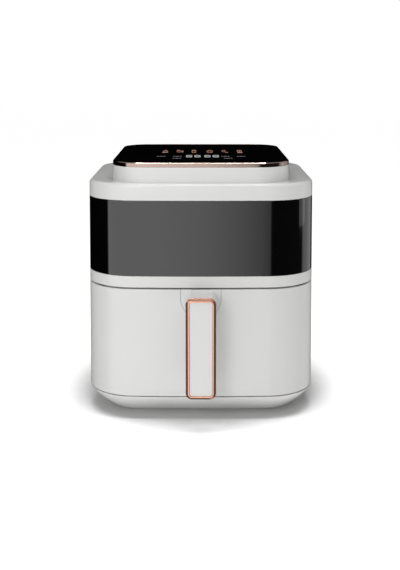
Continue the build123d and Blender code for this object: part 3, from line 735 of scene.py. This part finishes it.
def make_floor():
    """White glowing floor with a painted contact shadow: its glow is darkened by ambient occlusion
    where something stands close over it.
    """
    quiet()
    bpy.ops.mesh.primitive_plane_add(size=14.0, location=(0, 0, 0))
    floor = bpy.context.object
    floor.name = "floor"
    finish = Finish("light_table", emission_strength=0.84)
    drift = finish.noise(3.0, 3.0)
    reach = {"Distance": 0.11}
    # Painted shadow: ambient occlusion dims the floor's glow near the object, standing in for the
    # shade that the object casts.
    openness = finish.node("ShaderNodeAmbientOcclusion", {"samples": 8}, reach, "AO")
    painted_shadow_mask = finish.step(openness, 0.50, 0.78)
    tone = finish.blend(painted_shadow_mask, (0.02, 0.02, 0.02), (1.0, 1.0, 1.0))
    paint = finish.blend(drift, (0.60, 0.60, 0.60), (0.62, 0.62, 0.62))
    floor.data.materials.append(
        finish.feed(base_color=paint, emission_color=tone, roughness=drift * 0.1 + 0.7)
    )
    floor.visible_glossy = False


def make_room():
    """White backdrop, even light on matt surfaces, and a dim studio for reflections."""
    world = bpy.data.worlds.new("studio")
    bpy.context.scene.world = world
    world.use_nodes = True
    room = NodeSheet(world.node_tree)
    way = room.node("ShaderNodeTexCoord", {}, {}, "Generated")
    across = room.node("ShaderNodeSeparateXYZ", {}, {"Vector": way}, "X")
    depth = room.node("ShaderNodeSeparateXYZ", {}, {"Vector": way}, "Y")
    height = room.node("ShaderNodeSeparateXYZ", {}, {"Vector": way}, "Z")
    bearing = across.combine("ARCTAN2", depth * -1.0) * (180 / math.pi)
    share = (bearing + 180.0) * (1 / 360)
    stops = [((angle + 180) / 360, (level,) * 3) for angle, level in PANEL_BY_BEARING]
    panel = room.node("ShaderNodeValToRGB", {"stops": stops}, {"Fac": share})
    stops = [(place, (level,) * 3) for place, level in SKY_BY_HEIGHT]
    sky = room.node("ShaderNodeValToRGB", {"stops": stops}, {"Fac": height})
    below = room.step(height, SKY_START, PANEL_TOP)
    mix = {"data_type": "RGBA"}
    studio = room.node("ShaderNodeMix", mix, {"Factor": below, "A": sky, "B": panel}, 2)
    soft = room.node("ShaderNodeLightPath", {}, {}, "Is Diffuse Ray")
    even = (AMBIENT, AMBIENT, AMBIENT, 1)
    ambient = room.node("ShaderNodeMix", mix, {"Factor": soft, "A": studio, "B": even}, 2)
    lit = room.node("ShaderNodeBackground", {}, {"Color": ambient, "Strength": 1.0})
    plain = room.node("ShaderNodeBackground", {}, {"Color": (1, 1, 1, 1), "Strength": 1.0})
    seen = room.node("ShaderNodeLightPath", {}, {}, "Is Camera Ray")
    both = room.node("ShaderNodeMixShader", {}, {0: seen, 1: lit, 2: plain})
    surface = world.node_tree.nodes["World Output"].inputs["Surface"]
    world.node_tree.links.new(both.socket, surface)


def make_stage():
    """Floor, room and three soft lights."""
    make_floor()
    make_room()
    middle_z = cad_box[1].z / 2
    softbox("key", (-0.40, -1.15, 0.55), (-0.05, -0.1, middle_z), 0.4, 0.6, 1.0, 90)
    softbox("top", (0, -0.25, 1.25), (0, 0, 0.3), 0.9, 0.12, 6.5)
    softbox("right_side", (1.3, 0.1, 0.5), (0.1, 0, middle_z), 0.5, 1.0, 0.7)
    bpy.context.scene.view_settings.view_transform = "Standard"


# ---------------------------------------------------------------- the body's shells
BODY = Plan(BODY_HALF, BODY_FRONT, BODY_BACK, CORNER, CORNER)
COLLAR = Plan(COLLAR_HALF, COLLAR_FRONT, COLLAR_BACK, COLLAR_FRONT_ROUND, COLLAR_REAR_ROUND)


def body_form(name, section, ring=False):
    """Ring or block of the tapered body from (inset, height) section points."""
    return sweep(name, BODY, [(inset - flare(z), z) for inset, z in section], ring)


def wall_section(low, high, wall, top_round, bottom_round):
    """Closed section of an upright wall with rounded outer edges."""
    corners = [(0, low), (0, high), (wall, high), (wall, low)]
    return rounded(corners, [bottom_round, top_round, 0, 0])


def rear_window(gap=0.3):
    """Cutter for the opening that the rear cover fills."""
    low = (rear_low.x - gap, 100.0, rear_low.z - gap)
    return slab("rear_window", low, (rear_high.x + gap, FAR, rear_high.z + gap))


def make_band():
    """Gloss band, open where the rear cover is let in."""
    section = wall_section(band_low.z + 0.1, band_high.z - 0.1, 2.4, 0.35, 0.35)
    band = body_form("band", section, ring=True)
    carve(band, rear_window())
    soften(band, 0.3)
    fit_out(settle(band), BLACK_GLOSS, "housing", "gloss_black", "decor_band")


def make_lower_shell():
    """Side and rear walls with the ring over the drawer and its underside."""
    low, high = shell_low.z, shell_high.z
    shell = body_form("shell", wall_section(low, high, WALL, 0.35, 0.5), ring=True)
    mouth = slab("mouth", (-FAR, -FAR, 0), (FAR, CAP_EDGE + 0.8, RING_BOTTOM))
    carve(shell, mouth)
    carve(shell, rear_window())
    levels = (RING_BOTTOM + 0.01, RING_BOTTOM + 2.5)
    underside = body_form("underside", [(1.5, z) for z in levels])
    side = liner_high.x + 0.3
    carve(underside, slab("inside", (-side, liner_low.y, 0), (side, FAR, 300)))
    carve(underside, slab("behind", (-FAR, CAP_EDGE + 3.0, 0), (FAR, FAR, 300)))
    carve(shell, underside, "UNION")
    soften(shell, 0.5)
    fit_out(settle(shell), WHITE, "housing", "white_plastic", "lower_shell")


def make_top_cover():
    """Shoulder with its rounded edge, the narrower collar and the deck under the glass."""
    low = cover_low.z + 0.1
    deck = trim_low.z - 0.05
    foot = rounded([(3, low), (0, low), (0, low + 5)], [0, 0.35, 0])[1:-1]
    corner = [(0, low), (0, SHOULDER_TOP), (20, SHOULDER_TOP)]
    edge = rounded(corner, [0, SHOULDER_ROUND, 0], 8)[1:-1]
    shoulder = body_form("shoulder", [(3.0, low)] + foot + edge + [(8.0, SHOULDER_TOP)])
    rim = rounded([(0, SHOULDER_TOP), (0, deck), (4, deck)], [0, 0.4, 0], 3)[1:-1]
    section = [(0, SHOULDER_TOP - 2)] + rim + [(2.9, deck), (2.9, glass_low.z - 0.05)]
    collar = sweep("collar", COLLAR, section)
    carve(shoulder, collar, "UNION")
    ceiling = SHOULDER_TOP - WALL
    carve(shoulder, body_form("hollow", [(WALL, low - 1), (WALL, ceiling)]))
    carve(shoulder, sweep("hollow", COLLAR, [(WALL, ceiling - 1), (WALL, deck - WALL)]))
    fit_out(settle(shoulder), WHITE, "housing", "white_plastic", "top_cover")


def make_panel():
    """Rose-gold frame and the glass in it."""
    low, high = trim_low.z, glass_high.z + 0.12
    section = rounded(
        [(0.3, low), (0.3, high - 0.8), (1.0, high), (2.8, high), (2.8, low)],
        [0.25, 0.3, 0.25, 0.05, 0],
        3,
    )
    rim = sweep("panel_frame", COLLAR, section, ring=True)
    fit_out(settle(rim, 50), ROSE, "housing", "rose_gold", "panel_trim")
    corner = [(2.9, glass_low.z), (2.9, glass_high.z), (10, glass_high.z)]
    glass = sweep("panel_glass", COLLAR, rounded(corner, [0, 0.35, 0], 3)[:-1])
    fit_out(settle(glass), GLASS, "housing", "black_glass", "control_glass")


# ---------------------------------------------------------------- the printing on the glass
# Each stroke of a sign: place, half width, half depth, corner radius, and whether it is an outline.
STRETCH = 4.2
SIGN_PLACES = (-47.5, -28.2, -8.9, 11.7, 31.6, 51.6)
SIGN_Y = 41.0
SIGN_LINE = 0.8
CAKE = (
    (0, -3.0, 4.0, 0.6, 0.5, False),
    (0, 0.2, 3.4, 2.2, 1.6, True),
    (0, 3.8, 0.6, 1.2, 0.5, False),
)
FISH = (
    (-0.6, 0, 3.6, 2.4, 2.2, True),
    (4.0, 0, 0.7, 2.4, 0.6, False),
    (-2.0, 4.2, 2.2, 0.6, 0.5, False),
)
CUP = (
    (-0.4, -0.8, 2.8, 3.2, 1.0, True),
    (-0.4, 4.0, 3.0, 0.6, 0.5, False),
)
PIZZA = (
    (0, 0, 4.2, 4.2, 4.0, True),
    (-1.3, 1.0, 0.7, 0.9, 0.6, False),
    (1.4, -1.0, 0.7, 0.9, 0.6, False),
)
DRUMSTICK = (
    (-1.2, 1.4, 2.8, 2.8, 2.6, True),
    (2.4, -3.2, 2.0, 0.6, 0.5, False),
)
CHIPS = (
    (-2.4, 1.6, 0.6, 2.6, 0.5, False),
    (0, 2.0, 0.6, 3.0, 0.5, False),
    (2.4, 1.6, 0.6, 2.6, 0.5, False),
    (0, -3.2, 3.4, 1.3, 0.9, False),
)
SIGNS = (CAKE, FISH, CUP, PIZZA, DRUMSTICK, CHIPS)
FIGURE_PLACES = (-15.0, -4.4, 8.3, 18.9)
FIGURE_Y = -20.5
LABEL_PLACES = (
    (-50.5, -22.0),
    (-30.0, -22.0),
    (31.0, -22.0),
    (51.0, -22.0),
    (-30.0, -46.0),
    (34.0, -46.0),
)


def mark(x, y, half_x, half_y, radius, line=0.0, stretch=1.0):
    """Printed shape on the glass: a filled bar, or an outline when a line width is given."""
    low, high = glass_high.z - 0.02, glass_high.z + 0.12
    outline = Bar(half_x, half_y, radius, 0.0, 3)
    section = [(0, low), (0, high)]
    if line:
        section += [(line, high), (line, low)]
    shape = sweep("mark", outline, section, ring=bool(line))
    shape.scale.y = stretch
    shape.location = (x * MM, y * MM, 0)
    use(shape)
    bpy.ops.object.transform_apply(location=True, rotation=True, scale=True)
    return shape


def food_signs():
    """Six menu signs, each drawn from a few strokes."""
    signs = []
    for x, strokes in zip(SIGN_PLACES, SIGNS):
        for dx, dy, half_x, half_y, radius, outlined in strokes:
            line = SIGN_LINE if outlined else 0.0
            place_y = SIGN_Y + dy * STRETCH
            signs.append(mark(x + dx, place_y, half_x, half_y, radius, line, STRETCH))
    return signs


def figure():
    """Seven-segment figure with all its segments lit, at the middle of the glass."""
    level = [mark(0, dy, 2.6, 1.5, 0.6) for dy in (-11.0, 0.0, 11.0)]
    standing = [mark(dx, dy, 0.7, 4.0, 0.4) for dx in (-3.2, 3.2) for dy in (-5.6, 5.6)]
    return join("figure", level + standing)


def key_label():
    """Three dashes where a key's name would be."""
    dashes = ((-4.2, 1.1), (0.0, 2.2), (4.2, 1.1))
    return join("key_label", [mark(x, 0, half, 2.6, 0.5) for x, half in dashes])


def place_copies(pattern, places):
    """Copies of a pattern at several places. The pattern itself is removed."""
    copies = [place_copy(pattern, x, y) for x, y in places]
    bpy.data.objects.remove(pattern)
    return copies


def make_printing():
    """Menu signs, four figures and dim key labels printed on the glass."""
    warm = printed_mark("warm_print", (0.34, 0.17, 0.12), 0.5)
    pale = printed_mark("figure_print", (0.42, 0.42, 0.42), 0.6)
    dim = printed_mark("label_print", (0.13, 0.12, 0.12), 0.4)
    figures = place_copies(figure(), [(x, FIGURE_Y) for x in FIGURE_PLACES])
    labels = place_copies(key_label(), LABEL_PLACES)
    groups = (
        ("menu_signs", food_signs(), warm),
        ("figures", figures, pale),
        ("key_labels", labels, dim),
    )
    for name, marks, material in groups:
        fit_out(settle(join(name, marks)), material, "housing", "black_glass")


# ---------------------------------------------------------------- the base
FOOT_X = 82.0
FOOT_FRONT_Y = BODY_FRONT + 56.0
FOOT_BACK_Y = BODY_BACK - 54.0
VENT_X = 30.0
VENT_FRONT_Y = -12.0
VENT_PITCH = 12.0
VENT_ROWS = 7
VENT_HALF = (22.0, 2.2)


def base_inset(z):
    """How far the base's side stands in from the body's outline at a height."""
    share = (z - tray_low.z) / (BASE_TOP - tray_low.z)
    return BASE_INSET * (1 - share) ** BASE_CURVE


def base_levels(inset, low, high, steps=10):
    """Points up the base's curved side, moved inward by an inset."""
    heights = [low + (high - low) * step / steps for step in range(steps + 1)]
    return [(base_inset(z) + inset, z) for z in heights]


def make_base():
    """Flared base: hollow, open at the top, with foot seats and rows of vents."""
    bottom = tray_low.z
    rim = rounded([(0, BASE_TOP - 3), (0, BASE_TOP), (8, BASE_TOP)], [0, 0.6, 0], 3)[1:-1]
    sides = [(BASE_INSET + 2.0, bottom)] + base_levels(0.02, bottom + 0.25, BASE_TOP - 1.2, 14)
    base = body_form("base", sides + rim)
    hollow = base_levels(WALL, bottom + 2.4, BASE_TOP - 2.0) + [(WALL, BASE_TOP + 5)]
    carve(base, body_form("hollow", hollow))
    for x in (-FOOT_X, FOOT_X):
        for y in (FOOT_FRONT_Y, FOOT_BACK_Y):
            carve(base, drum("seat", 12.0, (x, y, 0), (x, y, bottom + 1.4)))
    half_x, half_y = VENT_HALF
    for row in range(VENT_ROWS):
        y = VENT_FRONT_Y + row * VENT_PITCH
        for x in (-VENT_X, VENT_X):
            low = (x - half_x, y - half_y, bottom - 1)
            carve(base, slab("vent", low, (x + half_x, y + half_y, bottom + 4)))
    soften(base, 0.25)
    fit_out(settle(base), WHITE, "housing", "white_plastic", "base_tray")


# ---------------------------------------------------------------- the drawer's front
FRONT_WALL = 3.0
ARM_HALF = 133.5


def u_cutter(name, gap, front, back):
    """U-shaped prism, open at the top, drawn in the front's plane."""
    half = U_HALF + gap
    piece = begin(name)
    point((half, U_TOP, 0))
    push(0, U_CENTRE_Z - U_TOP)
    turn((0, U_CENTRE_Z), -180, 40)
    push(0, U_TOP - U_CENTRE_Z)
    bpy.ops.mesh.select_all(action="SELECT")
    bpy.ops.mesh.edge_face_add()
    push(0, 0, back - front)
    bpy.ops.mesh.select_all(action="SELECT")
    bpy.ops.mesh.normals_make_consistent(inside=False)
    bpy.ops.object.mode_set(mode="OBJECT")
    upright(piece)
    piece.location.y = back * MM
    use(piece)
    bpy.ops.object.transform_apply(location=True, rotation=True, scale=True)
    return piece


def drawer_shape(name):
    """Outer block of the drawer's front with rounded upper and lower edges."""
    low, high = front_low.z, front_high.z
    bottom = rounded([(6, low), (0, low), (0, low + 9)], [0, 1.0, 0], 4)[1:-1]
    top = rounded([(0, high - 9), (0, high), (6, high)], [0, 1.0, 0], 4)[1:-1]
    return body_form(name, bottom + top)


def make_drawer_front():
    """Hollow front that wraps both corners, with the U-shaped cut for the handle's root."""
    low, high = front_low.z, front_high.z
    front = drawer_shape("drawer_face")
    carve(front, slab("back_half", (-FAR, CAP_EDGE, 0), (FAR, 300, 300)))
    carve(front, body_form("cavity", [(FRONT_WALL, low + 2.5), (FRONT_WALL, high - 2.5)]))
    panel_back = limits("drawer_inner_panel")[0].y + 3.5
    arms = slab("arms", (-ARM_HALF, panel_back, 0), (ARM_HALF, 300, 300))
    inside = body_form("inside", [(FRONT_WALL, low - 5), (FRONT_WALL, high + 5)])
    carve(arms, inside, "INTERSECT")
    carve(front, arms)
    carve(front, u_cutter("u_gap", 0.3, BODY_FRONT - 10, BODY_FRONT + 30))
    soften(front, 0.35)
    fit_out(settle(front), WHITE, "drawer", "white_plastic", "drawer_front")


# ---------------------------------------------------------------- the handle
# The neck's section: how far ahead of the front, and how far inside its half width.
NECK_HALF = 19.1
NECK_ROUND = 7.5
NECK_LOW = 139.0
NECK_REACH = ((4.0, -1.2), (-1.0, -0.9), (-2.2, -0.1), (-4.0, 0.7), (-8.0, 1.3), (-20.0, 1.7))
NECK_END_INSET = 1.7
GRIP_ROUND = 7.5
FRAME_WIDTH = 4.2
FRAME_CHAMFER = (2.8, 2.3)


def make_handle_root():
    """Plug let into the front, with the neck that widens where it meets it."""
    plug = drawer_shape("handle_neck")
    carve(plug, u_cutter("u_plug", 0.0, BODY_FRONT - 10, BODY_FRONT + 8), "INTERSECT")
    soften(plug, 0.35)
    top, low = root_high.z - 0.1, NECK_LOW
    section = [(inset, -BODY_FRONT - ahead) for ahead, inset in NECK_REACH]
    section.append((NECK_END_INSET, -grip_high.y))
    outline = Bar(NECK_HALF, (top - low) / 2, NECK_ROUND, (top + low) / 2, 12)
    carve(plug, upright(sweep("neck", outline, section)), "UNION")
    carve(plug, slab("over", (-FAR, -FAR, root_high.z), (FAR, 0, root_high.z + 10)))
    fit_out(settle(plug, 40), WHITE, "drawer", "white_plastic", "handle_root")


def grip_form(name, section, ring=False):
    """Ring or block round the grip's front outline from (inset, y) section points."""
    half_x, half_z = grip_high.x, (grip_high.z - grip_low.z) / 2
    bar = Bar(half_x, half_z, GRIP_ROUND, grip_low.z + half_z, 10)
    return upright(sweep(name, bar, [(inset, -y) for inset, y in section], ring))


def make_grip():
    """White back shell, rose frame with a broad chamfer, and the white inlay of the grip."""
    front, split, back = frame_low.y, frame_high.y, grip_high.y
    section = rounded([(5.5, back), (0, back), (0, split)], [0, 3.0, 0], 6)
    shell = grip_form("grip_shell", section)
    fit_out(settle(shell), WHITE, "drawer", "white_plastic", "handle_grip")
    width = FRAME_WIDTH
    across, deep = FRAME_CHAMFER
    corners = [(0, split), (0, front + deep), (across, front), (width, front), (width, split)]
    rim = grip_form("grip_frame", rounded(corners, [0, 0.6, 0.5, 0.3, 0], 4), ring=True)
    # The handle frame gets the brighter, redder copy of the rose-gold plating: painted light.
    fit_out(settle(rim, 50), ROSE_LIT, "drawer", "rose_gold", "handle_trim")
    corners = [(width + 0.1, split), (width + 0.1, front + 0.8), (9, front + 0.8)]
    inlay = grip_form("grip_inlay", rounded(corners, [0, 0.7, 0], 4)[:-1])
    fit_out(settle(inlay), WHITE, "drawer", "white_plastic", "handle_inlay")


make_camera()
make_stage()
make_band()
make_lower_shell()
make_top_cover()
make_panel()
make_printing()
make_base()
make_drawer_front()
make_handle_root()
make_grip()
